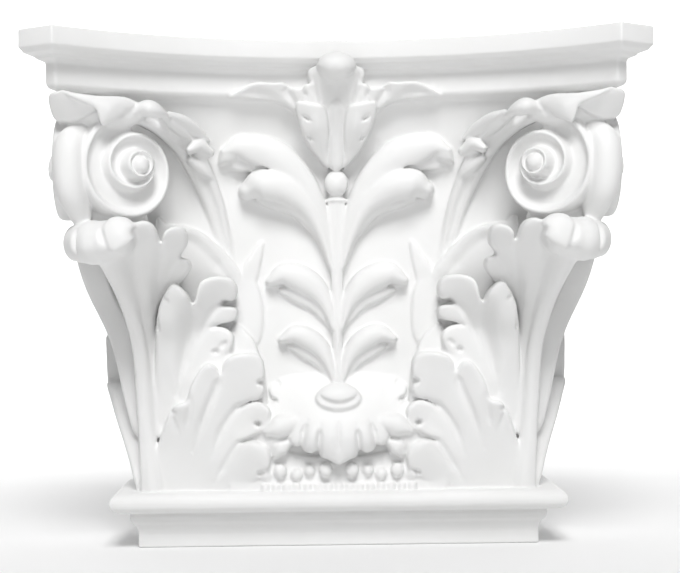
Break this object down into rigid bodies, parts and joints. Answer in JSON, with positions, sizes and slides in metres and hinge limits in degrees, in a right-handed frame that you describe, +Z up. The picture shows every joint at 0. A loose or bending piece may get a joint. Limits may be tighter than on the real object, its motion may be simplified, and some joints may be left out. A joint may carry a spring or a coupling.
{
  "type": "corinthian pilaster capital",
  "caption": "White moulded Corinthian pilaster capital with corner volutes, acanthus leaves, hollow-sided abacus and a flat back.",
  "frame": {"origin": "bottom centre of the whole capital's box, on the surface it stands on", "axes": "+Z up; -Y is the carved front; +Y is the flat back that meets the wall; X runs across the front"},
  "size_m": [0.293, 0.135, 0.248],
  "materials": {
    "white_primer": "smooth moulded rigid foam with a white satin-matte primer"
  },
  "bodies": {
    "root": {"capital": "white_primer"}
  },
  "joints": []
}
